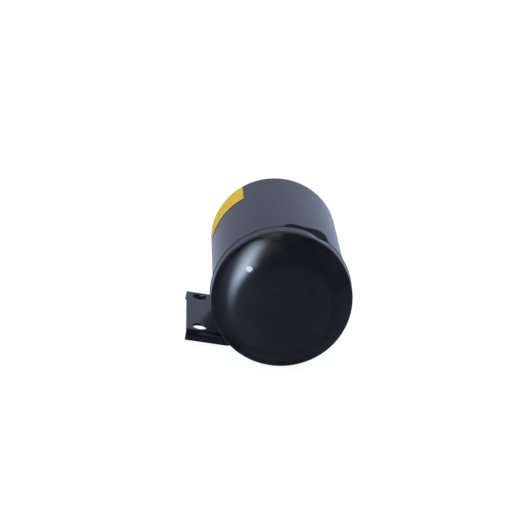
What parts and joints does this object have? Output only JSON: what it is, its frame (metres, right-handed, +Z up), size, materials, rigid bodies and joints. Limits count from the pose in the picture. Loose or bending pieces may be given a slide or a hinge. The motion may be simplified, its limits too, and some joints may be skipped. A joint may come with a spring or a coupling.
{
  "type": "hydraulic oil reservoir",
  "caption": "Cylindrical painted steel oil reservoir with a lapped domed bottom, an inset top with a vented screw cap, beaded hose ports and a pressed sheet mounting bracket.",
  "frame": {"origin": "middle of the bolt line, on the bracket's outer face, between its two bolt holes", "axes": "+Y along the can's axis from the domed bottom to the filler, +Z up as it lies on its bracket, +X from the bolt holes towards the can"},
  "size_m": [0.1258, 0.1899, 0.1061],
  "materials": {
    "black_paint": "satin black enamel",
    "bare_steel": "plain",
    "black_plastic": "moulded",
    "rubber": "matt",
    "yellow_vinyl": "printed film, bare"
  },
  "bodies": {
    "reservoir": {"body_shell": "black_paint", "bottom_cap": "black_paint", "top_head": "black_paint", "top_weld": "black_paint", "filler_neck": "black_paint", "neck_weld": "black_paint", "strainer_basket": "bare_steel", "return_pipe": "black_paint", "return_weld": "black_paint", "suction_pipe": "black_paint", "suction_weld": "black_paint", "suction_head": "bare_steel", "suction_mesh": "bare_steel", "suction_foot": "bare_steel", "bypass_spring": "bare_steel", "baffle_plate": "bare_steel", "mount_bracket": "black_paint", "bracket_weld_front": "black_paint", "bracket_weld_rear": "black_paint", "label": "yellow_vinyl"},
    "cap_seal": {"cap_gasket": "rubber"},
    "cap": {"filler_cap": "black_plastic", "vent_cage": "bare_steel", "vent_spring": "bare_steel", "dipstick": "bare_steel"},
    "vent": {"vent_disc": "bare_steel"},
    "bypass": {"bypass_disc": "bare_steel"}
  },
  "joints": [
    {"name": "cap_rise", "type": "slide", "parent": "reservoir", "child": "cap_seal", "axis": [0, 1, 0], "range_m": [0, 0.0081]},
    {"name": "cap_turn", "type": "hinge", "parent": "cap_seal", "child": "cap", "pos_m": [0.06268, 0.0721, 0.05112], "axis": [0, 1, 0], "range_deg": [0, 720]},
    {"name": "vent_lift", "type": "slide", "parent": "cap", "child": "vent", "axis": [0, 1, 0], "range_m": [0, 0.002], "stiffness_N_per_m": 100, "springref_m": -0.004, "deforming": ["vent_spring"]},
    {"name": "bypass_lift", "type": "slide", "parent": "reservoir", "child": "bypass", "axis": [0, 1, 0], "range_m": [0, 0.004], "stiffness_N_per_m": 250, "springref_m": -0.008, "deforming": ["bypass_spring"]}
  ],
  "couplings": [
    {"joint": "cap_rise", "follows": "cap_turn", "m_per_rad": 0.00063662}
  ]
}
